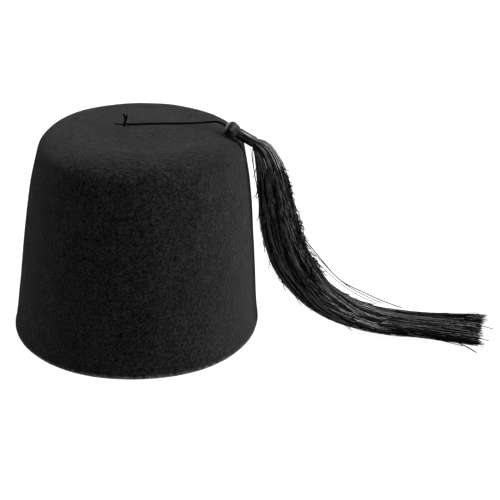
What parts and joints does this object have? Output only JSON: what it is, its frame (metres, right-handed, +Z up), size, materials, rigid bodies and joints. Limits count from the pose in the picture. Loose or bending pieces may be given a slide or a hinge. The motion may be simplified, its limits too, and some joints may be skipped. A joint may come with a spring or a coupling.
{
  "type": "felt fez with tassel",
  "caption": "Hollow black felt fez that stands on its rim, with a thread tassel on a thin cord from the middle of its top.",
  "frame": {"origin": "middle of the crown's rim, on the floor that the hat stands on", "axes": "+Z up, +X towards the side where the tassel hangs, +Y to the back of the head oval's longer way"},
  "size_m": [0.3299, 0.2024, 0.1485],
  "materials": {
    "felt": "matt blocked wool felt",
    "cord": "twisted cord",
    "thread": "satin rayon thread"
  },
  "bodies": {
    "root": {"crown": "felt", "stem": "cord", "tassel_cord": "cord", "tassel_knob": "thread", "tassel_sleeve": "thread", "tassel_skirt": "thread"}
  },
  "joints": []
}
